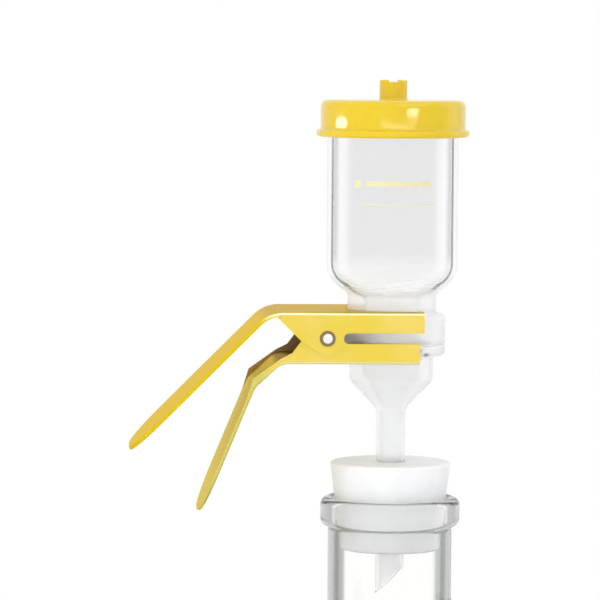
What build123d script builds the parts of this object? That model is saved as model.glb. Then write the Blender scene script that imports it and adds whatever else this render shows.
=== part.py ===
from build123d import *
from math import asin, atan2, cos, hypot, pi, radians, sin, sqrt, tan
import os

# Vacuum filtration unit for 25 mm membranes, standing on its filter flask.
# Z is up and runs along the glass axis, with z = 0 on the bench.
# The clamp's handles point to -X and the flask's side arm points to +X.

# ---- flask ----
flask_height = 155.0
flask_base_d = 85.0
flask_wall = 2.0
flask_floor = 3.5
flask_heel_r = 8.0
flask_heel_h = 13.0
flask_neck_h = 50.0
flask_throat_r = 16.0
flask_rim_bead = 2.45
flask_rim_h = 9.4
flask_rim_round = 2.4
flask_rim_slope = 0.8
mouth_round = 2.0
arm_d = 9.5
arm_bore_d = 6.0
arm_drop = 40.0
arm_reach = 58.0
arm_root_d = 10.6
arm_root_reach = 25.0
arm_root_edge_r = 0.4
arm_join_r = 2.0
arm_edge_r = 0.7

# ---- stopper, a tapered plug whose side meets the flask just below its mouth ----
stopper_top_d = 38.6
stopper_bottom_d = 31.9
stopper_length = 28.0
stopper_proud = 11.4
stopper_edge = 0.8
stopper_gap = 0.25

# ---- filter base with its stem ----
stem_d = 9.2
stem_bore_d = 6.2
stem_fit = 0.05
stem_below_rim = 31.0
stem_tip_angle = 45.0
base_collar_lip = 3.9
base_neck_drop = 11.9
base_cone_drop = 20.9
base_flange_h = 3.95
base_flange_r = 2.1
base_wall = 2.2
base_stem_join_r = 4.0
base_shoulder_r = 3.0
base_inner_r = 2.0
joint_above_stopper = 38.0

# ---- support disc and membrane ----
frit_d = 20.0
frit_h = 3.6
frit_ledge = 1.3
frit_fit = 0.05
frit_edge = 0.2
membrane_d = 25.0
membrane_t = 0.15

# ---- funnel ----
flange_d = 34.5
ground_edge_r = 0.5
collar_edge_r = 1.5
collar_join_r = 0.8
funnel_flange_h = 9.7
funnel_bore_d = 16.4
funnel_collar_lip = 3.1
funnel_neck_h = 6.2
funnel_d = 42.0
funnel_wall = 2.1
funnel_shoulder_angle = 35.0
funnel_shoulder_r = 9.0
funnel_neck_join_r = 1.6
funnel_bore_join_r = 3.0
funnel_height = 75.6

# ---- lid ----
lid_wall = 1.95
lid_roof = 2.0
lid_skirt_h = 11.8
lid_corner_r = 2.2
lid_fit = 0.25
lid_seat_gap = 0.2
lid_join_r = 0.7
lid_edge_r = 0.6
lip_proud = 1.35
lip_h = 2.5
lip_slope = 0.3
lip_r_top = 0.8
lip_r_low = 1.0
port_d = 8.9
port_bore_d = 5.2
port_h = 6.4
port_notch_w = 3.4
port_notch_h = 0.7
port_mouth_r = 0.3

# ---- clamp ----
sheet_t = 1.2
fold_r = 1.0
side_gap = 0.3
nest_gap = 0.1
grip_gap = 0.15
neck_clearance = 0.6
pivot_clear = 4.35
ear_r = 5.2
ear_side_angle = 30.0
jaw_slot_h = 3.5
slot_corner_r = 1.6
heel_back = 8.2
heel_drop = 0.9
side_tuck = 0.7
upper_jaw_reach = 9.0
upper_bend_back = 18.3
upper_bend_r = 11.0
upper_handle_angle = 45.0
upper_handle_length = 62.2
upper_side_back = 15.8
upper_tip_r = 15.0
lower_jaw_reach = 7.8
lower_bend_back = 14.6
lower_bend_r = 6.0
lower_drop_angle = 42.0
lower_drop_length = 11.5
lower_knee_r = 7.0
lower_handle_angle = 67.5
lower_handle_length = 44.2
lower_rib_h = 2.6
lower_rib_run = 11.0
lower_rib_lead = 3.6
lower_rib_low = 0.8
lower_rib_back = 0.3
lower_tip_r = 14.0

# ---- rivet and spring ----
rivet_d = 3.8
rivet_fit = 0.05
rivet_head_d = 5.0
rivet_head_h = 0.8
rivet_boss_d = 3.0
rivet_brim_h = 0.3
rivet_head_gap = 0.1
wire_d = 0.9
coil_fit = 0.35
coil_turns = 6
coil_pitch = 1.2
spring_seat_gap = 0.15
spring_leg_back = 11.5

# ---- places that follow from the sizes ----
stopper_top_z = flask_height + stopper_proud
stopper_bottom_z = stopper_top_z - stopper_length
stopper_taper = (stopper_top_d - stopper_bottom_d) / 2 / stopper_length
mouth_z = flask_height - mouth_round
mouth_r = stopper_top_d / 2 - stopper_taper * (stopper_top_z - mouth_z) + stopper_gap
flask_neck_r = mouth_r + flask_wall
flask_neck_z = flask_height - flask_neck_h
arm_z = flask_height - arm_drop
stem_tip_z = flask_height - stem_below_rim
joint_z = stopper_top_z + joint_above_stopper
funnel_z = joint_z + membrane_t
funnel_flange_z = funnel_z + funnel_flange_h
funnel_neck_z = funnel_flange_z + funnel_neck_h
funnel_top_z = funnel_z + funnel_height
flange_r = flange_d / 2
base_under_z = joint_z - base_flange_h
lid_roof_z = funnel_top_z + lid_seat_gap
lid_top_z = lid_roof_z + lid_roof
lid_lip_z = lid_top_z - lid_skirt_h
port_top_z = lid_top_z + port_h
lower_web_z = base_under_z - grip_gap - sheet_t / 2
upper_web_z = funnel_flange_z + grip_gap + sheet_t / 2
pivot_z = (lower_web_z + upper_web_z) / 2
lower_inner = flange_r + side_gap
lower_outer = lower_inner + sheet_t
upper_inner = lower_outer + nest_gap
upper_outer = upper_inner + sheet_t
pivot_x = -flange_r - pivot_clear

os.makedirs("parts", exist_ok=True)

# Filter flask: one blown piece, with a beaded mouth and a side arm for the vacuum hose.
flask_base_r = flask_base_d / 2
flask_rim_r = flask_neck_r + flask_rim_bead
with BuildPart() as flask:
    with BuildSketch(Plane.XZ):
        with BuildLine():
            FilletPolyline(
                (0, 0),
                (flask_base_r, 0),
                (flask_base_r, flask_heel_h),
                (flask_neck_r, flask_neck_z),
                (flask_neck_r, flask_height - flask_rim_h),
                (flask_rim_r, flask_height - flask_rim_h + flask_rim_slope),
                (flask_rim_r, flask_height),
                (mouth_r, flask_height),
                (mouth_r, flask_neck_z),
                (flask_base_r - flask_wall, flask_heel_h),
                (flask_base_r - flask_wall, flask_floor),
                (0, flask_floor),
                radius=[
                    0,
                    flask_heel_r,
                    flask_heel_r,
                    flask_throat_r,
                    flask_rim_round / 2,
                    flask_rim_round,
                    flask_rim_round,
                    mouth_round,
                    flask_throat_r + flask_wall,
                    flask_heel_r - flask_wall,
                    flask_heel_r - flask_wall,
                    0,
                ],
                close=True,
            )
        make_face()
    revolve(axis=Axis.Z)
    with BuildSketch(Plane.YZ.offset(mouth_r + flask_wall / 2)):
        with Locations((0, arm_z)):
            Circle(arm_d / 2)
    extrude(amount=arm_reach - mouth_r - flask_wall / 2)
    with BuildSketch(Plane.YZ.offset(mouth_r + flask_wall / 2)):
        with Locations((0, arm_z)):
            Circle(arm_root_d / 2)
    extrude(amount=arm_root_reach - mouth_r - flask_wall / 2)
    arm_end = flask.faces().sort_by(Axis.X)[-1]
    fillet(arm_end.edges(), radius=arm_edge_r)
    arm_step = flask.edges().sort_by_distance((arm_root_reach, 0, arm_z + arm_root_d / 2))[0]
    fillet(arm_step, radius=arm_root_edge_r)
    arm_root = flask.edges().sort_by_distance((flask_neck_r, 0, arm_z + arm_root_d / 2))[0]
    fillet(arm_root, radius=arm_join_r)
    with BuildSketch(Plane.YZ.offset(mouth_r / 2)):
        with Locations((0, arm_z)):
            Circle(arm_bore_d / 2)
    extrude(amount=arm_reach, mode=Mode.SUBTRACT)
flask.part.label = "flask"
export_step(flask.part, "parts/flask.step")

# Stopper: a soft tapered plug with one hole for the stem.
with BuildPart() as stopper:
    with BuildSketch(Plane.XZ):
        with BuildLine():
            FilletPolyline(
                (stem_d / 2 + stem_fit, stopper_bottom_z),
                (stopper_bottom_d / 2, stopper_bottom_z),
                (stopper_top_d / 2, stopper_top_z),
                (stem_d / 2 + stem_fit, stopper_top_z),
                radius=[0, stopper_edge, stopper_edge, 0],
                close=True,
            )
        make_face()
    revolve(axis=Axis.Z)
stopper.part.label = "stopper"
export_step(stopper.part, "parts/stopper.step")

# Filter base: ground flange, short neck, cone and stem in one piece, cut aslant at the tip.
base_neck_r = flange_r - base_collar_lip
frit_seat_z = joint_z - frit_h
with BuildPart() as base:
    with BuildSketch(Plane.XZ):
        with BuildLine():
            FilletPolyline(
                (stem_bore_d / 2, stem_tip_z),
                (stem_d / 2, stem_tip_z),
                (stem_d / 2, joint_z - base_cone_drop),
                (base_neck_r, joint_z - base_neck_drop),
                (base_neck_r, base_under_z),
                (flange_r, base_under_z),
                (flange_r, joint_z),
                (frit_d / 2 + frit_fit, joint_z),
                (frit_d / 2 + frit_fit, frit_seat_z),
                (frit_d / 2 - frit_ledge, frit_seat_z),
                (frit_d / 2 - frit_ledge, joint_z - base_neck_drop + base_wall),
                (stem_bore_d / 2, joint_z - base_cone_drop + base_wall),
                radius=[
                    0,
                    0,
                    base_stem_join_r,
                    base_shoulder_r,
                    collar_join_r,
                    base_flange_r,
                    ground_edge_r,
                    0,
                    0,
                    0,
                    base_inner_r,
                    base_shoulder_r,
                ],
                close=True,
            )
        make_face()
    revolve(axis=Axis.Z)
    with BuildSketch(Plane.XZ):
        with BuildLine():
            Polyline(
                (-stem_d, stem_tip_z - stem_d),
                (stem_d, stem_tip_z - stem_d),
                (stem_d, stem_tip_z + (stem_d + stem_d / 2) * tan(radians(stem_tip_angle))),
                (-stem_d / 2, stem_tip_z),
                (-stem_d, stem_tip_z),
                close=True,
            )
        make_face()
    extrude(amount=stem_d, both=True, mode=Mode.SUBTRACT)
base.part.label = "base"
export_step(base.part, "parts/base.step")

# Support disc: a sintered disc let into the base, flush with its ground face.
with BuildPart() as support_disc:
    with BuildSketch(Plane.XY.offset(frit_seat_z)):
        Circle(frit_d / 2)
    extrude(amount=frit_h)
    chamfer(support_disc.edges().group_by(Axis.Z)[-1], length=frit_edge)
support_disc.part.label = "support_disc"
export_step(support_disc.part, "parts/support_disc.step")

# Membrane filter: a thin disc gripped between the two ground faces.
with BuildPart() as membrane_filter:
    with BuildSketch(Plane.XY.offset(joint_z)):
        Circle(membrane_d / 2)
    extrude(amount=membrane_t)
membrane_filter.part.label = "membrane_filter"
export_step(membrane_filter.part, "parts/membrane_filter.step")

# Funnel: ground collar, neck, rounded shoulder and straight cup in one piece.
funnel_r = funnel_d / 2
funnel_neck_r = flange_r - funnel_collar_lip
funnel_inner_r = funnel_r - funnel_wall
funnel_rim_r = funnel_wall * 0.45
shoulder_slope = tan(radians(funnel_shoulder_angle))
shoulder_z = funnel_neck_z + (funnel_r - funnel_neck_r) * shoulder_slope
shoulder_rise = funnel_wall / cos(radians(funnel_shoulder_angle)) - funnel_wall * shoulder_slope
inner_shoulder_z = shoulder_z + shoulder_rise
bore_top_z = inner_shoulder_z - (funnel_inner_r - funnel_bore_d / 2) * shoulder_slope
with BuildPart() as funnel:
    with BuildSketch(Plane.XZ):
        with BuildLine():
            FilletPolyline(
                (funnel_bore_d / 2, funnel_z),
                (flange_r, funnel_z),
                (flange_r, funnel_flange_z),
                (funnel_neck_r, funnel_flange_z),
                (funnel_neck_r, funnel_neck_z),
                (funnel_r, shoulder_z),
                (funnel_r, funnel_top_z),
                (funnel_inner_r, funnel_top_z),
                (funnel_inner_r, inner_shoulder_z),
                (funnel_bore_d / 2, bore_top_z),
                radius=[
                    0,
                    ground_edge_r,
                    collar_edge_r,
                    collar_join_r,
                    funnel_neck_join_r,
                    funnel_shoulder_r,
                    funnel_rim_r,
                    funnel_rim_r,
                    funnel_shoulder_r - funnel_wall,
                    funnel_bore_join_r,
                ],
                close=True,
            )
        make_face()
    revolve(axis=Axis.Z)
funnel.part.label = "funnel"
export_step(funnel.part, "parts/funnel.step")

# Lid: a moulded cap with a rolled lip and a short vent port, notched across its rim.
skirt_inner_r = funnel_r + lid_fit
skirt_r = skirt_inner_r + lid_wall
lip_r = skirt_r + lip_proud
with BuildPart() as lid:
    with BuildSketch(Plane.XZ):
        with BuildLine():
            FilletPolyline(
                (port_bore_d / 2, lid_roof_z),
                (port_bore_d / 2, port_top_z),
                (port_d / 2, port_top_z),
                (port_d / 2, lid_top_z),
                (skirt_r, lid_top_z),
                (skirt_r, lid_lip_z + lip_h),
                (lip_r, lid_lip_z + lip_h - lip_slope),
                (lip_r, lid_lip_z),
                (skirt_inner_r, lid_lip_z),
                (skirt_inner_r, lid_roof_z),
                radius=[
                    port_mouth_r,
                    port_mouth_r,
                    lid_edge_r,
                    lid_join_r,
                    lid_corner_r,
                    lid_join_r,
                    lip_r_top,
                    lip_r_low,
                    lid_edge_r,
                    lid_edge_r,
                ],
                close=True,
            )
        make_face()
    revolve(axis=Axis.Z)
    with BuildSketch(Plane.XZ):
        with Locations((0, port_top_z)):
            RectangleRounded(port_notch_w, 2 * port_notch_h, port_mouth_r)
    extrude(amount=port_d, both=True, mode=Mode.SUBTRACT)
lid.part.label = "lid"
export_step(lid.part, "parts/lid.step")

# Clamp, upper half: one folded sheet. The forked web presses on the funnel's collar, the two
# sides carry the rivet, and the web runs on into the handle.
pivot = (pivot_x, pivot_z)
heel = (pivot_x - heel_back, pivot_z - heel_drop)
slot_top_z = pivot_z + jaw_slot_h / 2
slot_low_z = pivot_z - jaw_slot_h / 2
slot_end = pivot_x + ear_r
ear_side = radians(ear_side_angle)
upper_bend = (pivot_x - upper_bend_back, upper_web_z)
upper_tip = (
    upper_bend[0] - upper_handle_length * cos(radians(upper_handle_angle)),
    upper_web_z - upper_handle_length * sin(radians(upper_handle_angle)),
)
upper_side_z = upper_web_z + sheet_t / 2 - fold_r
with BuildPart() as clamp_upper:
    with BuildSketch(Plane.XZ):
        with BuildLine():
            FilletPolyline((upper_jaw_reach, upper_web_z), upper_bend, upper_tip, radius=upper_bend_r)
        trace(line_width=sheet_t)
    extrude(amount=upper_outer, both=True)
    handle_end = clamp_upper.faces().sort_by(Axis.Z)[0]
    fillet(handle_end.edges().sort_by(SortBy.LENGTH)[:2], radius=upper_tip_r)
    web_top = clamp_upper.faces().filter_by(Plane.XY).sort_by(Axis.Z)[-1]
    web_sides = web_top.edges().filter_by(Axis.X)
    fillet(web_sides, radius=fold_r)
    with BuildSketch(Plane.XY.offset(upper_web_z)):
        Circle(funnel_neck_r + neck_clearance)
        with Locations((upper_jaw_reach, 0)):
            Rectangle(2 * upper_jaw_reach, 2 * (funnel_neck_r + neck_clearance))
    extrude(amount=sheet_t, both=True, mode=Mode.SUBTRACT)
    with BuildSketch(Plane.XZ) as upper_side:
        with BuildLine():
            Polyline(
                (upper_jaw_reach, upper_side_z),
                (upper_bend[0] + upper_bend_r * tan(radians(upper_handle_angle / 2)), upper_side_z),
                (pivot_x - upper_side_back, upper_side_z - side_tuck),
                heel,
                (pivot_x - ear_r * sin(ear_side), pivot_z - ear_r * cos(ear_side)),
                (pivot_x, slot_top_z),
                (upper_jaw_reach, slot_top_z),
                close=True,
            )
        make_face()
        with Locations(pivot):
            Circle(ear_r)
        fillet(upper_side.vertices().sort_by_distance((slot_end, slot_top_z))[0], radius=slot_corner_r)
        with Locations(pivot):
            Circle(rivet_d / 2 + rivet_fit, mode=Mode.SUBTRACT)
    for side in (-1, 1):
        extrude(upper_side.sketch.moved(Location((0, side * upper_inner, 0))), amount=sheet_t, dir=(0, side, 0))
clamp_upper.part.label = "clamp_upper"
export_step(clamp_upper.part, "parts/clamp_upper.step")

# Clamp, lower half: nests between the upper half's sides, and its web presses under the base's flange.
lower_bend = (pivot_x - lower_bend_back, lower_web_z)
lower_knee = (
    lower_bend[0] - lower_drop_length * cos(radians(lower_drop_angle)),
    lower_web_z - lower_drop_length * sin(radians(lower_drop_angle)),
)
lower_tip = (
    lower_knee[0] - lower_handle_length * cos(radians(lower_handle_angle)),
    lower_knee[1] - lower_handle_length * sin(radians(lower_handle_angle)),
)
lower_side_z = lower_web_z - sheet_t / 2 + fold_r
rib_end = (
    lower_knee[0] - lower_rib_run * cos(radians(lower_handle_angle)),
    lower_knee[1] - lower_rib_run * sin(radians(lower_handle_angle)),
)
with BuildPart() as clamp_lower:
    with BuildSketch(Plane.XZ):
        with BuildLine():
            FilletPolyline(
                (lower_jaw_reach, lower_web_z),
                lower_bend,
                lower_knee,
                lower_tip,
                radius=[lower_bend_r, lower_knee_r],
            )
        trace(line_width=sheet_t)
    extrude(amount=lower_outer, both=True)
    handle_end = clamp_lower.faces().sort_by(Axis.Z)[0]
    fillet(handle_end.edges().sort_by(SortBy.LENGTH)[:2], radius=lower_tip_r)
    web_under = clamp_lower.faces().filter_by(Plane.XY).group_by(Axis.X)[-1].sort_by(Axis.Z)[0]
    fillet(web_under.edges().filter_by(Axis.X), radius=fold_r)
    with BuildSketch(Plane.XY.offset(lower_web_z)):
        Circle(base_neck_r + neck_clearance)
        with Locations((lower_jaw_reach, 0)):
            Rectangle(2 * lower_jaw_reach, 2 * (base_neck_r + neck_clearance))
    extrude(amount=sheet_t, both=True, mode=Mode.SUBTRACT)
    with BuildSketch(Plane.XZ) as lower_side:
        with BuildLine():
            Polyline(
                (lower_jaw_reach, lower_side_z),
                (lower_bend[0] + lower_bend_r * tan(radians(lower_drop_angle / 2)), lower_side_z),
                (lower_bend[0], lower_side_z - side_tuck),
                lower_knee,
                rib_end,
                (lower_knee[0] - lower_rib_back, lower_knee[1] + lower_rib_h),
                (lower_bend[0], lower_side_z + lower_rib_low),
                (lower_bend[0] + lower_rib_lead, lower_side_z + lower_rib_h),
                heel,
                (pivot_x - ear_r * sin(ear_side), pivot_z + ear_r * cos(ear_side)),
                (pivot_x, slot_low_z),
                (lower_jaw_reach, slot_low_z),
                close=True,
            )
        make_face()
        with Locations(pivot):
            Circle(ear_r)
        fillet(lower_side.vertices().sort_by_distance((slot_end, slot_low_z))[0], radius=slot_corner_r)
        with Locations(pivot):
            Circle(rivet_d / 2 + rivet_fit, mode=Mode.SUBTRACT)
    for side in (-1, 1):
        extrude(lower_side.sketch.moved(Location((0, side * lower_inner, 0))), amount=sheet_t, dir=(0, side, 0))
clamp_lower.part.label = "clamp_lower"
export_step(clamp_lower.part, "parts/clamp_lower.step")

# Rivet: one pin through all four sides, its ends headed over into a boss with a flat brim.
head_y = upper_outer + rivet_head_gap
with BuildPart() as pivot_rivet:
    with BuildSketch(Plane.XY):
        with BuildLine():
            Line((0, 0), (0, head_y + rivet_head_h))
            TangentArc((0, head_y + rivet_head_h), (rivet_boss_d / 2, head_y + rivet_brim_h), tangent=(1, 0))
            Polyline(
                (rivet_boss_d / 2, head_y + rivet_brim_h),
                (rivet_head_d / 2, head_y + rivet_brim_h),
                (rivet_head_d / 2, head_y),
                (rivet_d / 2, head_y),
                (rivet_d / 2, 0),
                (0, 0),
            )
        make_face()
        mirror(about=Plane.XZ)
    revolve(axis=Axis.Y)
pivot_rivet.part = pivot_rivet.part.moved(Location((pivot_x, 0, pivot_z)))
pivot_rivet.part.label = "pivot_rivet"
export_step(pivot_rivet.part, "parts/pivot_rivet.step")

# Spring: a wire coil round the rivet. Each end of the coil runs on as a straight leg that leaves it
# at a tangent and ends against the inside of one web.
coil_r = rivet_d / 2 + coil_fit + wire_d / 2
leg_rise = upper_web_z - pivot_z - sheet_t / 2 - wire_d / 2 - spring_seat_gap
leg_span = hypot(spring_leg_back, leg_rise)
leg_length = sqrt(leg_span**2 - coil_r**2)
leg_angle = atan2(leg_rise, spring_leg_back) - asin(coil_r / leg_span)
coil_length = coil_pitch * (coil_turns + 0.5 - leg_angle / pi)
coil_plane = Plane(
    origin=(pivot_x, -coil_length / 2, pivot_z),
    x_dir=(sin(leg_angle), 0, cos(leg_angle)),
    z_dir=(0, 1, 0),
)
with BuildPart() as clamp_spring:
    with BuildLine() as coil:
        Helix(pitch=coil_pitch, height=coil_length, radius=coil_r)
    turns = coil_plane.from_local_coords(coil.line)
    with BuildSketch(Plane(origin=turns @ 0, z_dir=turns % 0)):
        Circle(wire_d / 2)
    sweep(path=turns, is_frenet=True)
    with BuildSketch(Plane(origin=turns @ 0, z_dir=-(turns % 0))):
        Circle(wire_d / 2)
    extrude(amount=leg_length)
    with BuildSketch(Plane(origin=turns @ 1, z_dir=turns % 1)):
        Circle(wire_d / 2)
    extrude(amount=leg_length)
clamp_spring.part.label = "clamp_spring"
export_step(clamp_spring.part, "parts/clamp_spring.step")
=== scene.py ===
import math

import bpy
import bmesh
from mathutils import Vector, Matrix


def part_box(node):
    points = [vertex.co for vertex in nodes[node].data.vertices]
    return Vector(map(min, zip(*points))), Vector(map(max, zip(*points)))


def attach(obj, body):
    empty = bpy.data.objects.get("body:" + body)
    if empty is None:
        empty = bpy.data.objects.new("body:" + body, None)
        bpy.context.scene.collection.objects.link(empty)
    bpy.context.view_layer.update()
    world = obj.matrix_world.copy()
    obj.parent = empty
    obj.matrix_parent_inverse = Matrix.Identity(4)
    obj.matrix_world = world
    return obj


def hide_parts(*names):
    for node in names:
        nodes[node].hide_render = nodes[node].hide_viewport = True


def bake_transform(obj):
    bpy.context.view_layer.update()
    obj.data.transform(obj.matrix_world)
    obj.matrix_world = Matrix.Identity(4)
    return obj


mm = 0.001
midNoise = (0.3, 0.7)  # a noise pattern seldom leaves this range

print("Stage 1: the packed model")
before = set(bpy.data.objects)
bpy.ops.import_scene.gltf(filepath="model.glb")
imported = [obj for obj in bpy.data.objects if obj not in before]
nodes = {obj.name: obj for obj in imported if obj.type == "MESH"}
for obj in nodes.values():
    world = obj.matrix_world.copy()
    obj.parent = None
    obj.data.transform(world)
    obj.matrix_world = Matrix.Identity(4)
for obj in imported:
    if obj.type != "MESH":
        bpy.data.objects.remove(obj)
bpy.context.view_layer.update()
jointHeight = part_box("base")[1].z  # the two ground faces meet here
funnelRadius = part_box("funnel")[1].x
pivot = sum(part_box("pivot_rivet"), Vector((0, 0, 0))) / 2


def lightness(value):
    # one channel of a screen colour, 0 to 255, as the share of light it stands for
    value = value / 255
    return value / 12.92 if value <= 0.04045 else ((value + 0.055) / 1.055) ** 2.4


def paint(red, green, blue):
    return (lightness(red), lightness(green), lightness(blue), 1.0)


def startMaterial(name):
    material = bpy.data.materials.new(name)
    material.use_nodes = True
    tree = material.node_tree
    tree.nodes.clear()
    return material, tree


def addNode(tree, kind, values=None, **settings):
    node = tree.nodes.new(kind)
    for key, value in settings.items():
        setattr(node, key, value)
    for key, value in (values or {}).items():
        if isinstance(value, bpy.types.NodeSocket):
            tree.links.new(value, node.inputs[key])
        else:
            node.inputs[key].default_value = value
    return node


def calculate(tree, operation, first, second=None):
    values = {0: first} if second is None else {0: first, 1: second}
    return addNode(tree, "ShaderNodeMath", values, operation=operation).outputs[0]


def calculateVector(tree, operation, first, second):
    values = {0: first, 1: second}
    return addNode(tree, "ShaderNodeVectorMath", values, operation=operation).outputs[0]


def lengthOf(tree, vector):
    return addNode(tree, "ShaderNodeVectorMath", {0: vector}, operation="LENGTH").outputs["Value"]


def spread(tree, value, before, after):
    # eases a value from one range into another and holds it beyond both ends
    values = {
        "Value": value,
        "From Min": before[0],
        "From Max": before[1],
        "To Min": after[0],
        "To Max": after[1],
    }
    node = addNode(tree, "ShaderNodeMapRange", values, interpolation_type="SMOOTHSTEP")
    return node.outputs["Result"]


def ramp(tree, value, stops):
    node = addNode(tree, "ShaderNodeValToRGB", {"Fac": value})
    colours = node.color_ramp.elements
    while len(colours) < len(stops):
        colours.new(0.5)
    for element, (place, colour) in zip(colours, sorted(stops)):
        element.position = place
        element.color = colour
    return node.outputs["Color"]


def mixColour(tree, share, first, second):
    values = {0: share, 6: first, 7: second}  # where a mix of colours has its sockets
    return addNode(tree, "ShaderNodeMix", values, data_type="RGBA").outputs[2]


def mottle(tree, pattern, before, most, first, second):
    # drifts from the first colour towards the second as the pattern rises
    return mixColour(tree, spread(tree, pattern, before, (0.0, most)), first, second)


def places(tree, scale=(1, 1, 1)):
    # where a point of the piece is, in its own frame, stretched by scale
    where = addNode(tree, "ShaderNodeTexCoord").outputs["Object"]
    return addNode(tree, "ShaderNodeMapping", {"Vector": where, "Scale": scale}).outputs[0]


def noise(tree, where, scale, detail=3.0, roughness=0.5):
    values = {"Vector": where, "Scale": scale, "Detail": detail, "Roughness": roughness}
    return addNode(tree, "ShaderNodeTexNoise", values).outputs["Fac"]


def bump(tree, height, strength, distance, normal=None):
    values = {"Height": height, "Strength": strength, "Distance": distance}
    if normal is not None:
        values["Normal"] = normal
    return addNode(tree, "ShaderNodeBump", values).outputs[0]


def surface(tree, values):
    return addNode(tree, "ShaderNodeBsdfPrincipled", values).outputs[0]


def mixShader(tree, share, first, second):
    return addNode(tree, "ShaderNodeMixShader", {0: share, 1: first, 2: second}).outputs[0]


def finishMaterial(tree, shader):
    addNode(tree, "ShaderNodeOutputMaterial", {"Surface": shader})


def coatNode(name, material):
    piece = nodes[name]
    for index in range(len(piece.data.materials)):
        piece.data.materials[index] = material


def addObject(name, data):
    thing = bpy.data.objects.new(name, data)
    bpy.context.scene.collection.objects.link(thing)
    return thing


def skinRings(name, rings):
    # joins each ring of points to the next and closes both ends
    mesh = bmesh.new()
    loops = [[mesh.verts.new(point) for point in ring] for ring in rings]
    for first, second in zip(loops, loops[1:]):
        for k in range(len(first)):
            after = (k + 1) % len(first)
            mesh.faces.new((first[k], first[after], second[after], second[k]))
    mesh.faces.new(list(reversed(loops[0])))
    mesh.faces.new(loops[-1])
    bmesh.ops.recalc_face_normals(mesh, faces=mesh.faces[:])
    data = bpy.data.meshes.new(name)
    mesh.to_mesh(data)
    mesh.free()
    return addObject(name, data)


nowhere = (-1.01, -1.0)  # heights far under the bench, so the change stays out of the piece
glassBasics = {
    "ior": 1.47,
    "coat": 0.0,
    "coatRoughness": 0.02,
    "roughness": (0.004, 0.01),
    "roughPatches": 90,
    "roughRange": (0.35, 0.75),
    "wave": 0.05,
    "waveScale": 160,
    "waveStretch": (1, 1, 0.12),
    "waveDepth": 0.15 * mm,
    "pale": paint(246, 246, 246),
    "paleMost": 0.6,
    "paleHeights": nowhere,
    "milk": (0.0, 0.0, 0.0),  # in the tube, the neck and the collar
    "neckHeights": nowhere,
    "collarHeights": nowhere,
    "cloud": paint(252, 252, 252),
    "cloudRoughness": 0.3,
    "cloudDepth": 0.7,
    "glow": 5 * mm,
    "shadow": (0.98, 0.98, 0.98, 1.0),
}
groundJoint = {
    "groundHeight": jointHeight,
    "groundBand": (0.42 * mm, 0.7 * mm),
    "groundGrain": 5200,
    "frost": (0.32, 0.48),
    "groundMilk": 0.8,
}


def makeGlass(name, look):
    material, tree = startMaterial(name)
    where = places(tree)
    height = addNode(tree, "ShaderNodeSeparateXYZ", {"Vector": where}).outputs["Z"]
    # a band is a place from the face seen square on (0) to the outline (1), and the colour painted
    # there; the dark and pale ones are painted shade and highlight along the outline
    facing = addNode(tree, "ShaderNodeLayerWeight", {"Blend": 0.5}).outputs["Facing"]
    tintWithPaintedBands = ramp(tree, facing, look["paintedBands"])
    if "paintedOuterBands" in look:
        # the outside gets paler painted colours, so the painted dark outline is darkest where the
        # inner wall turns away
        away = lengthOf(tree, calculateVector(tree, "MULTIPLY", where, (1, 1, 0)))
        outside = spread(tree, away, look["outerRadii"], (0.0, 1.0))
        tintWithPaintedBands = mixColour(tree, outside, tintWithPaintedBands, ramp(tree, facing, look["paintedOuterBands"]))
    # faint waves left along the glass when it was drawn and blown
    waves = noise(tree, places(tree, look["waveStretch"]), look["waveScale"], 2.0)
    normal = bump(tree, waves, look["wave"], look["waveDepth"])
    patches = noise(tree, where, look["roughPatches"])
    roughness = spread(tree, patches, look["roughRange"], look["roughness"])
    # the painted outline is fainter from the shoulder down, and the neck and collar are cloudier
    pale = spread(tree, height, look["paleHeights"], (look["paleMost"], 0.0))
    tintWithPaintedBands = mixColour(tree, pale, tintWithPaintedBands, look["pale"])
    clearTube, neck, collar = look["milk"]
    milk = spread(tree, height, look["neckHeights"], (neck, clearTube))
    inCollar = spread(tree, height, look["collarHeights"], (1.0, 0.0))
    milk = calculate(tree, "ADD", milk, calculate(tree, "MULTIPLY", inCollar, collar - neck))
    if "groundHeight" in look:
        # the ground sealing face and its bevelled edge
        offset = calculate(tree, "SUBTRACT", height, look["groundHeight"])
        away = calculate(tree, "ABSOLUTE", offset)
        ground = spread(tree, away, look["groundBand"], (1.0, 0.0))
        grain = noise(tree, where, look["groundGrain"], 2.0)
        frosted = spread(tree, grain, midNoise, look["frost"])
        frosted = calculate(tree, "MULTIPLY", ground, frosted)
        roughness = calculate(tree, "ADD", roughness, frosted)
        groundMilk = calculate(tree, "MULTIPLY", ground, look["groundMilk"])
        milk = calculate(tree, "MAXIMUM", milk, groundMilk)
    glass = surface(
        tree,
        {
            "Base Color": tintWithPaintedBands,
            "Roughness": roughness,
            "IOR": look["ior"],
            "Transmission Weight": 1.0,
            "Coat Weight": look["coat"],
            "Coat Roughness": look["coatRoughness"],
            "Normal": normal,
        },
    )
    cloud = surface(
        tree,
        {
            "Base Color": look["cloud"],
            "Roughness": look["cloudRoughness"],
            "Subsurface Weight": look["cloudDepth"],
            "Subsurface Radius": (1.0, 1.0, 1.0),
            "Subsurface Scale": look["glow"],
            "Normal": normal,
        },
    )
    glass = mixShader(tree, milk, glass, cloud)
    # lamps reach what stands inside the glass
    lampRay = addNode(tree, "ShaderNodeLightPath").outputs["Is Shadow Ray"]
    clear = addNode(tree, "ShaderNodeBsdfTransparent", {"Color": look["shadow"]}).outputs[0]
    finishMaterial(tree, mixShader(tree, lampRay, glass, clear))
    return material


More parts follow.
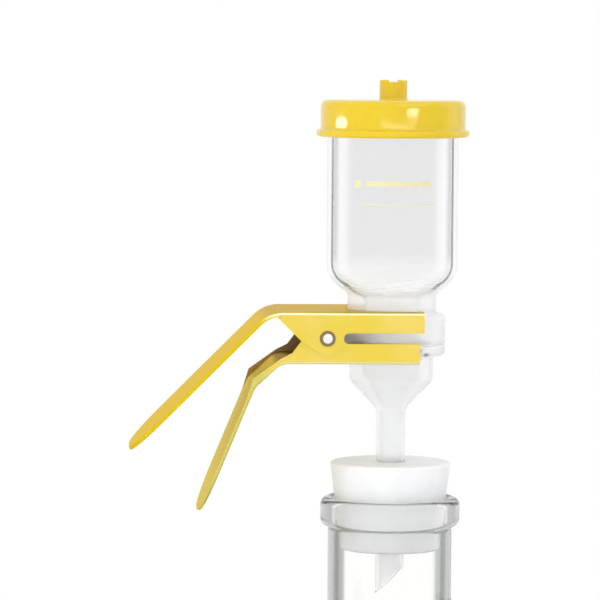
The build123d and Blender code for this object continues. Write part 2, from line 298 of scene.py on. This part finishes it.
flaskLook = {
    **glassBasics,
    # painted shade: the colours turn dark towards the outline
    "paintedBands": [
        (0.0, paint(255, 255, 254)),
        (0.26, paint(255, 255, 254)),
        (0.34, paint(254, 254, 254)),
        (0.38, paint(240, 241, 240)),
        (0.46, paint(126, 130, 126)),
        (0.6, paint(136, 140, 137)),
        (0.75, paint(152, 155, 153)),
    ],
    "wave": 0.1,
    "shadow": (1.0, 1.0, 1.0, 1.0),
}
baseLook = {
    **glassBasics,
    **groundJoint,
    "ior": 1.05,
    "coat": 0.5,
    "roughness": (0.06, 0.1),
    # painted shade: the colours turn a little darker towards the outline
    "paintedBands": [
        (0.0, paint(250, 250, 250)),
        (0.45, paint(250, 250, 250)),
        (0.7, paint(238, 239, 240)),
        (0.95, paint(240, 241, 242)),
    ],
    "milk": (0.14, 0.14, 0.14),
    "cloud": paint(241, 244, 248),
}
funnelLook = {
    **glassBasics,
    **groundJoint,
    "ior": 1.035,  # low, so the inner wall turns dark only along a thin line
    "coat": 0.2,
    "roughness": (0.0, 0.0),
    # painted highlight and shade: a bright band, then a dark one where the inner wall turns away
    "paintedBands": [
        (0.0, paint(243, 243, 243)),
        (0.24, paint(243, 243, 243)),
        (0.36, paint(253, 253, 253)),
        (0.54, paint(250, 251, 250)),
        (0.64, paint(216, 219, 218)),
        (0.82, paint(210, 214, 213)),
        (0.93, paint(246, 247, 247)),
    ],
    # painted on the outer face: pale, darkening only at the very outline
    "paintedOuterBands": [
        (0.0, paint(243, 243, 243)),
        (0.24, paint(243, 243, 243)),
        (0.36, paint(253, 253, 253)),
        (0.55, paint(250, 250, 250)),
        (0.8, paint(246, 247, 247)),
        (0.94, paint(214, 216, 216)),
    ],
    "outerRadii": (funnelRadius - 1 * mm, funnelRadius - 0.5 * mm),
    "wave": 0.02,
    # the colour the painted outline fades to from the shoulder down
    "pale": paint(252, 252, 252),
    "paleHeights": (228 * mm, 234 * mm),
    "milk": (0.015, 0.46, 0.66),
    "neckHeights": (219 * mm, 225 * mm),
    "collarHeights": (214.5 * mm, 215.5 * mm),
    "cloud": paint(250, 251, 253),
}

print("Stage 2: glass")
coatNode("flask", makeGlass("flaskGlass", flaskLook))
coatNode("base", makeGlass("baseGlass", baseLook))
coatNode("funnel", makeGlass("funnelGlass", funnelLook))

discLook = {
    "colour": paint(240, 240, 237),
    "dark": paint(206, 206, 203),
    "grain": 3400,
    "poreRange": (0.25, 0.8),
    "relief": 0.7,
    "depth": 0.12 * mm,
    "roughness": 0.78,
    "ior": 1.47,
    "glowShare": 0.25,
    "glow": 0.6 * mm,
}


def makeSinter(name, look):
    material, tree = startMaterial(name)
    values = {"Vector": places(tree), "Scale": look["grain"]}
    pores = addNode(tree, "ShaderNodeTexVoronoi", values).outputs["Distance"]
    shader = surface(
        tree,
        {
            "Base Color": mottle(tree, pores, look["poreRange"], 1.0, look["colour"], look["dark"]),
            "Roughness": look["roughness"],
            "IOR": look["ior"],
            "Subsurface Weight": look["glowShare"],
            "Subsurface Scale": look["glow"],
            "Normal": bump(tree, pores, look["relief"], look["depth"]),
        },
    )
    finishMaterial(tree, shader)
    return material


membraneLook = {
    "colour": paint(247, 247, 244),
    "dark": paint(214, 214, 208),
    "darkMost": 0.2,
    "fibre": 2600,
    "fibreDetail": 5.0,
    "fibreRoughness": 0.7,
    "relief": 0.5,
    "depth": 0.02 * mm,
    "roughness": 0.9,
}


def makeMembrane(name, look):
    material, tree = startMaterial(name)
    fibres = noise(tree, places(tree), look["fibre"], look["fibreDetail"], look["fibreRoughness"])
    shader = surface(
        tree,
        {
            "Base Color": mottle(
                tree, fibres, midNoise, look["darkMost"], look["colour"], look["dark"]
            ),
            "Roughness": look["roughness"],
            "Normal": bump(tree, fibres, look["relief"], look["depth"]),
        },
    )
    finishMaterial(tree, shader)
    return material


print("Stage 3: disc and membrane")
coatNode("support_disc", makeSinter("sinteredGlass", discLook))
coatNode("membrane_filter", makeMembrane("filterMembrane", membraneLook))

lidLook = {
    "colour": paint(227, 197, 24),
    "deep": paint(221, 187, 20),
    "deepMost": 0.45,
    "flow": 55,
    "flowStretch": (1, 1, 0.5),
    "flowRange": (0.35, 0.7),
    "flowRelief": 0.12,
    "flowDepth": 0.2 * mm,
    "grain": 1900,
    "grainRelief": 0.1,
    "grainDepth": 0.02 * mm,
    "roughness": (0.2, 0.3),
    "roughPatches": 240,
    "ior": 1.49,
    "shine": 0.15,
    "coat": 0.6,
    "coatRoughness": 0.03,
    "glowShare": 0.12,
    "glowColours": (1.0, 0.6, 0.1),
    "glow": 1.2 * mm,
}


def makeYellowMoulding(name, look):
    material, tree = startMaterial(name)
    where = places(tree)
    flow = noise(tree, places(tree, look["flowStretch"]), look["flow"])
    fine = noise(tree, where, look["grain"], 2.0)
    patches = noise(tree, where, look["roughPatches"], 4.0)
    grain = bump(tree, fine, look["grainRelief"], look["grainDepth"])
    shader = surface(
        tree,
        {
            "Base Color": mottle(
                tree, flow, look["flowRange"], look["deepMost"], look["colour"], look["deep"]
            ),
            "Roughness": spread(tree, patches, midNoise, look["roughness"]),
            "IOR": look["ior"],
            "Specular IOR Level": look["shine"],
            "Coat Weight": look["coat"],
            "Coat Roughness": look["coatRoughness"],
            "Subsurface Weight": look["glowShare"],
            "Subsurface Radius": look["glowColours"],
            "Subsurface Scale": look["glow"],
            "Normal": bump(tree, flow, look["flowRelief"], look["flowDepth"], grain),
        },
    )
    finishMaterial(tree, shader)
    return material


print("Stage 4: lid")
coatNode("lid", makeYellowMoulding("yellowMoulding", lidLook))

clampLook = {
    "colour": paint(237, 210, 84),
    "pale": paint(244, 220, 124),
    "paleMost": 0.6,
    "paleRange": (0.35, 0.7),
    "patches": 60,
    # painted highlight along the long folds
    "foldHighlight": paint(246, 240, 184),
    "foldTilt": (0.12, 0.4),
    "foldSide": (0.3, 0.6),
    "levelTilt": (0.7, 0.96),
    # painted shade on the inside faces behind the jaws
    "inside": paint(184, 154, 110),
    "insideTurn": (-0.9, -0.5),
    "insideStart": (-14.5 * mm, -12 * mm),
    "handleStart": (-43 * mm, -38 * mm),
    "metallic": 0.85,
    "glance": (0.95, 0.74, 0.2, 1.0),
    "shine": 0.2,
    "roughness": (0.3, 0.42),
    "grain": 1500,
    "relief": 0.08,
    "scratch": 0.02 * mm,
}
# the level faces get painted shade
upperLook = {**clampLook, "topShade": paint(194, 166, 98), "handle": paint(224, 195, 34)}
lowerLook = {**clampLook, "topShade": paint(104, 84, 52), "handle": paint(218, 206, 108)}


def makeGoldSheet(name, look):
    material, tree = startMaterial(name)
    where = addNode(tree, "ShaderNodeTexCoord").outputs
    place = addNode(tree, "ShaderNodeSeparateXYZ", {"Vector": where["Object"]}).outputs
    faces = addNode(tree, "ShaderNodeSeparateXYZ", {"Vector": where["Normal"]}).outputs
    grain = noise(tree, where["Object"], look["grain"], 4.0, 0.6)
    patches = noise(tree, where["Object"], look["patches"])
    colour = mottle(
        tree, patches, look["paleRange"], look["paleMost"], look["colour"], look["pale"]
    )
    # the handles have a colour of their own, set for each half
    handle = spread(tree, place["X"], look["handleStart"], (1.0, 0.0))
    colour = mixColour(tree, handle, colour, look["handle"])
    # painted highlight: the long folds are painted pale, as if lit
    upright = calculate(tree, "ABSOLUTE", faces["Z"])
    sideways = calculate(tree, "ABSOLUTE", faces["Y"])
    upright = spread(tree, upright, look["foldTilt"], (0.0, 1.0))
    sideways = spread(tree, sideways, look["foldSide"], (0.0, 1.0))
    foldHighlight = calculate(tree, "MULTIPLY", upright, sideways)
    foldHighlight = calculate(tree, "MULTIPLY", foldHighlight, calculate(tree, "SUBTRACT", 1.0, handle))
    colour = mixColour(tree, foldHighlight, colour, look["foldHighlight"])
    # painted shade: the level faces are painted darker
    level = spread(tree, faces["Z"], look["levelTilt"], (0.0, 1.0))
    colour = mixColour(tree, level, colour, look["topShade"])
    # painted shade: the inside faces behind the jaws are painted dark
    inward = calculate(tree, "MULTIPLY", faces["Y"], calculate(tree, "SIGN", place["Y"]))
    inward = spread(tree, inward, look["insideTurn"], (1.0, 0.0))
    behind = spread(tree, place["X"], look["insideStart"], (1.0, 0.0))
    inside = calculate(tree, "MULTIPLY", behind, inward)
    colour = mixColour(tree, inside, colour, look["inside"])
    shader = surface(
        tree,
        {
            "Base Color": colour,
            "Metallic": look["metallic"],
            "Roughness": spread(tree, grain, midNoise, look["roughness"]),
            "Specular IOR Level": look["shine"],
            "Specular Tint": look["glance"],
            "Normal": bump(tree, grain, look["relief"], look["scratch"]),
        },
    )
    finishMaterial(tree, shader)
    return material


print("Stage 5: clamp")
coatNode("clamp_upper", makeGoldSheet("goldSheetUpper", upperLook))
coatNode("clamp_lower", makeGoldSheet("goldSheetLower", lowerLook))

rivetLook = {
    "boss": paint(246, 246, 243),
    # painted shade for the flat ring round the boss
    "brim": paint(142, 124, 96),
    "brimStart": (1.395 * mm, 1.62 * mm),
    "roughness": (0.16, 0.3),
    "grain": 2600,
    "relief": 0.1,
    "depth": 0.02 * mm,
}


def makeRivetSteel(name, look):
    # a bright boss, and painted shade: the flat ring round it is painted dark
    material, tree = startMaterial(name)
    where = addNode(tree, "ShaderNodeTexCoord").outputs["Object"]
    fromPin = calculateVector(tree, "SUBTRACT", where, pivot)
    away = lengthOf(tree, calculateVector(tree, "MULTIPLY", fromPin, (1, 0, 1)))
    brim = spread(tree, away, look["brimStart"], (0.0, 1.0))
    grain = noise(tree, where, look["grain"])
    shader = surface(
        tree,
        {
            "Base Color": mixColour(tree, brim, look["boss"], look["brim"]),
            "Metallic": 1.0,
            "Roughness": spread(tree, grain, midNoise, look["roughness"]),
            "Normal": bump(tree, grain, look["relief"], look["depth"]),
        },
    )
    finishMaterial(tree, shader)
    return material


coatNode("pivot_rivet", makeRivetSteel("rivetSteel", rivetLook))

springLook = {
    "wire": 0.9 * mm,
    "sides": 16,
    "coilRadius": 2.7 * mm,
    "turns": 6,
    "turnSteps": 40,
    "pitch": 1.2 * mm,
    "legBack": 11.5 * mm,
    "legRise": 6.45 * mm,
    "legSteps": 14,
    "bendHalf": 3.2 * mm,  # the turns between the legs take up the bend
    "colour": paint(205, 205, 203),
    "dark": paint(176, 176, 174),
    "roughness": (0.2, 0.32),
    "grain": 900,
    "relief": 0.1,
    "depth": 0.03 * mm,
}


def springLine(look):
    # the wire's centreline: a straight leg, the coil round the rivet, and the other leg
    radius = look["coilRadius"]
    span = math.hypot(look["legBack"], look["legRise"])
    leg = math.sqrt(span**2 - radius**2)
    tilt = math.atan2(look["legRise"], look["legBack"]) - math.asin(radius / span)
    turned = look["turns"] + 0.5 - tilt / math.pi
    height = look["pitch"] * turned
    across = Vector((math.sin(tilt), 0, math.cos(tilt)))
    beside = Vector((0, 1, 0)).cross(across)
    count = look["turnSteps"] * look["turns"]
    coil = []
    for i in range(count + 1):
        share = i / count
        angle = 2 * math.pi * turned * share
        spoke = across * math.cos(angle) + beside * math.sin(angle)
        coil.append(pivot + spoke * radius + Vector((0, height * (share - 0.5), 0)))
    firstWay = (coil[0] - coil[1]).normalized()
    lastWay = (coil[-1] - coil[-2]).normalized()
    steps = look["legSteps"]
    first = [coil[0] + firstWay * (leg * (steps - i) / steps) for i in range(steps)]
    last = [coil[-1] + lastWay * (leg * (i + 1) / steps) for i in range(steps)]
    return first + coil + last


def makeWire(name, line, radius, sides):
    # sweeps a round wire along a line, cut square at both ends
    rings = []
    way = (line[1] - line[0]).normalized()
    side = way.orthogonal().normalized()
    for index, point in enumerate(line):
        way = (line[min(index + 1, len(line) - 1)] - line[max(index - 1, 0)]).normalized()
        side = (side - way * side.dot(way)).normalized()
        up = way.cross(side)
        ring = []
        for k in range(sides):
            angle = 2 * math.pi * k / sides
            ring.append(point + (side * math.cos(angle) + up * math.sin(angle)) * radius)
        rings.append(ring)
    piece = skinRings(name, rings)
    for face in piece.data.polygons:
        face.use_smooth = len(face.vertices) == 4
    return piece


def makeSteel(name, look):
    material, tree = startMaterial(name)
    streaks = noise(tree, places(tree), look["grain"])
    shader = surface(
        tree,
        {
            "Base Color": mixColour(tree, streaks, look["colour"], look["dark"]),
            "Metallic": 1.0,
            "Roughness": spread(tree, streaks, midNoise, look["roughness"]),
            "Normal": bump(tree, streaks, look["relief"], look["depth"]),
        },
    )
    finishMaterial(tree, shader)
    return material


springRadius = springLook["wire"] / 2
springWire = makeWire("spring_wire", springLine(springLook), springRadius, springLook["sides"])
springWire.data.materials.append(makeSteel("springSteel", springLook))
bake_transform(springWire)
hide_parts("clamp_spring")

stopperLook = {
    "colour": paint(243, 244, 246),
    "speck": paint(234, 235, 236),
    "speckMost": 0.6,
    "speckRange": (0.4, 0.75),
    "clouds": 130,
    "cloudRelief": 0.1,
    "cloudDepth": 0.2 * mm,
    "grain": 2400,
    "grainRelief": 0.18,
    "grainDepth": 0.03 * mm,
    "roughness": (0.44, 0.58),
    "ior": 1.41,
    "glowShare": 0.6,
    "glowColours": (1.0, 1.0, 0.95),
    "glow": 3.0 * mm,
}


def makeSilicone(name, look):
    material, tree = startMaterial(name)
    where = places(tree)
    clouds = noise(tree, where, look["clouds"], 4.0)
    fine = noise(tree, where, look["grain"])
    swell = bump(tree, clouds, look["cloudRelief"], look["cloudDepth"])
    shader = surface(
        tree,
        {
            "Base Color": mottle(
                tree, clouds, look["speckRange"], look["speckMost"], look["colour"], look["speck"]
            ),
            "Roughness": spread(tree, fine, midNoise, look["roughness"]),
            "IOR": look["ior"],
            "Subsurface Weight": look["glowShare"],
            "Subsurface Radius": look["glowColours"],
            "Subsurface Scale": look["glow"],
            "Normal": bump(tree, fine, look["grainRelief"], look["grainDepth"], swell),
        },
    )
    finishMaterial(tree, shader)
    return material


print("Stage 6: stopper")
coatNode("stopper", makeSilicone("silicone", stopperLook))

printLook = {
    "colour": paint(227, 222, 173),
    "worn": paint(233, 231, 209),
    "wornMost": 0.5,
    "wornRange": (0.45, 0.75),
    "wear": 900,
    "relief": 0.2,
    "depth": 0.02 * mm,
    "roughness": 0.4,
    "radius": funnelRadius + 0.01 * mm,
    "thick": 0.04 * mm,
    "steps": 48,
    "marks": [
        # name, centre and half width along the curve, low and high above the joint, in mm
        ("mark_bar", 0.6, 10.9, 51.0, 52.6),
        ("mark_square", -13.0, 1.2, 50.6, 52.8),
        ("mark_fill_line", 0.0, 13.0, 45.2, 45.45),
    ],
}


def makePrintInk(name, look):
    material, tree = startMaterial(name)
    wear = noise(tree, places(tree), look["wear"], 4.0)
    shader = surface(
        tree,
        {
            "Base Color": mottle(
                tree, wear, look["wornRange"], look["wornMost"], look["colour"], look["worn"]
            ),
            "Roughness": look["roughness"],
            "Normal": bump(tree, wear, look["relief"], look["depth"]),
        },
    )
    finishMaterial(tree, shader)
    return material


def makeMark(look, material, name, centre, half, low, high):
    # a thin closed strip round the cup; an angle of 0 faces -Y
    centreAngle = centre * mm / funnelRadius
    halfAngle = half * mm / funnelRadius
    low = jointHeight + low * mm
    high = jointHeight + high * mm
    radius, thick, steps = look["radius"], look["thick"], look["steps"]
    corners = [(radius, low), (radius + thick, low), (radius + thick, high), (radius, high)]
    rings = []
    for i in range(steps + 1):
        angle = centreAngle - halfAngle + 2 * halfAngle * i / steps
        out = Vector((math.sin(angle), -math.cos(angle), 0))
        rings.append([out * r + Vector((0, 0, z)) for r, z in corners])
    piece = skinRings(name, rings)
    piece.data.materials.append(material)
    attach(piece, "unit")


print("Stage 7: printed marks")
printInk = makePrintInk("printInk", printLook)
for mark in printLook["marks"]:
    makeMark(printLook, printInk, *mark)

studio = {
    "white": (1, 1, 1, 1),
    "fill": 0.59,  # the room's light; where the room itself is seen it is plain white
    "floorColour": paint(250, 250, 250),
    "floorSize": 8.0,
    "floorDrop": 0.2 * mm,
    "floorFade": (0.16, 0.45),  # from the floor's own grey to plain white, by distance
}
lamps = [
    # name, place, size across and up, power, and the height aimed at
    ("keySoftbox", (0.45, -0.8, 1.1), (1.2, 0.6), 3.2, 0.2),
    ("leftFill", (-0.5, -1.3, 0.3), (0.9, 0.5), 2.9, 0.2),
    ("rightFill", (0.5, -1.3, 0.3), (0.9, 0.5), 0.9, 0.2),
    ("sideFill", (-0.75, -0.3, 0.35), (0.6, 0.6), 1.6, 0.2),
    ("rightStrip", (0.6, 0.13, 0.3), (0.3, 0.9), 0.5, 0.2),
    ("topSoftbox", (0.0, 0.1, 1.2), (1.8, 1.8), 4.2, 0.2),
    # the long thin ones draw the bright spots and the streak on the lid
    ("leftGlint", (-0.56, 0.03, 0.2636), (0.25, 0.006), 0.08, 0.2636),
    ("rightGlint", (0.49, -0.985, 0.2595), (0.4, 0.006), 0.1, 0.2595),
    ("frontGlint", (0.1, -1.5, 0.241), (1.8, 0.004), 0.15, 0.241),
]


def seenShare(tree):
    # 1 for what is seen straight, by reflection or through glass
    path = addNode(tree, "ShaderNodeLightPath").outputs
    seen = calculate(tree, "MAXIMUM", path["Is Camera Ray"], path["Is Glossy Ray"])
    return calculate(tree, "MAXIMUM", seen, path["Is Transmission Ray"])


def makeWorld(look):
    world = bpy.data.worlds.new("studioWorld")
    bpy.context.scene.world = world
    world.use_nodes = True
    tree = world.node_tree
    tree.nodes.clear()
    fill, white = (
        addNode(tree, "ShaderNodeBackground", {"Color": look["white"], "Strength": strength})
        for strength in (look["fill"], 1.0)
    )
    both = mixShader(tree, seenShare(tree), fill.outputs[0], white.outputs[0])
    addNode(tree, "ShaderNodeOutputWorld", {"Surface": both})


def makeFloor(look):
    material, tree = startMaterial("paleFloor")
    where = addNode(tree, "ShaderNodeTexCoord").outputs["Object"]
    far = spread(tree, lengthOf(tree, where), look["floorFade"], (0.0, 1.0))
    share = calculate(tree, "MULTIPLY", far, seenShare(tree))
    mat = addNode(tree, "ShaderNodeBsdfDiffuse", {"Color": look["floorColour"]}).outputs[0]
    glow = addNode(tree, "ShaderNodeEmission", {"Color": look["white"], "Strength": 1.0})
    finishMaterial(tree, mixShader(tree, share, mat, glow.outputs[0]))
    half = look["floorSize"] / 2
    drop = -look["floorDrop"]
    corners = [(-half, -half, drop), (half, -half, drop), (half, half, drop), (-half, half, drop)]
    data = bpy.data.meshes.new("floor")
    data.from_pydata(corners, [], [(0, 1, 2, 3)])
    data.materials.append(material)
    addObject("floor", data)


def makeLamps(table):
    for name, place, (across, up), power, aim in table:
        light = bpy.data.lights.new(name, "AREA")
        light.shape = "ELLIPSE" if "Glint" in name else "RECTANGLE"
        light.size = across
        light.size_y = up
        light.energy = power
        lamp = addObject(name, light)
        lamp.location = place
        # the fills leave no patches in the glass
        lamp.visible_glossy = "Fill" not in name
        lamp.visible_transmission = "Fill" not in name
        way = Vector((0, 0, aim)) - Vector(place)
        lamp.rotation_euler = way.to_track_quat("-Z", "Y").to_euler()


print("Stage 8: floor, lamps and camera")
makeWorld(studio)
makeFloor(studio)
makeLamps(lamps)

cameraLook = {
    "aim": (-29.4 * mm, 0.0, 218.2 * mm),
    "azimuth": -3.0,
    "elevation": 3.9,
    "roll": 0.4,
    "distance": 1.2,
    "width": 192 * mm,  # what the view spans at the aim
    "sensor": 36.0,
    "near": 0.05,
    "far": 50,
}


def makeCamera(look):
    azimuth = math.radians(look["azimuth"])
    elevation = math.radians(look["elevation"])
    level = math.cos(elevation)
    back = Vector((math.sin(azimuth) * level, -math.cos(azimuth) * level, math.sin(elevation)))
    data = bpy.data.cameras.new("camera")
    data.sensor_width = look["sensor"]
    data.lens = look["sensor"] * look["distance"] / look["width"]
    data.clip_start = look["near"]
    data.clip_end = look["far"]
    camera = addObject("camera", data)
    camera.location = Vector(look["aim"]) + back * look["distance"]
    turn = (-back).to_track_quat("-Z", "Y").to_matrix().to_4x4()
    roll = Matrix.Rotation(math.radians(look["roll"]), 4, "Z")
    camera.rotation_euler = (turn @ roll).to_euler()
    bpy.context.scene.camera = camera


makeCamera(cameraLook)
bpy.context.scene.view_settings.view_transform = "Standard"
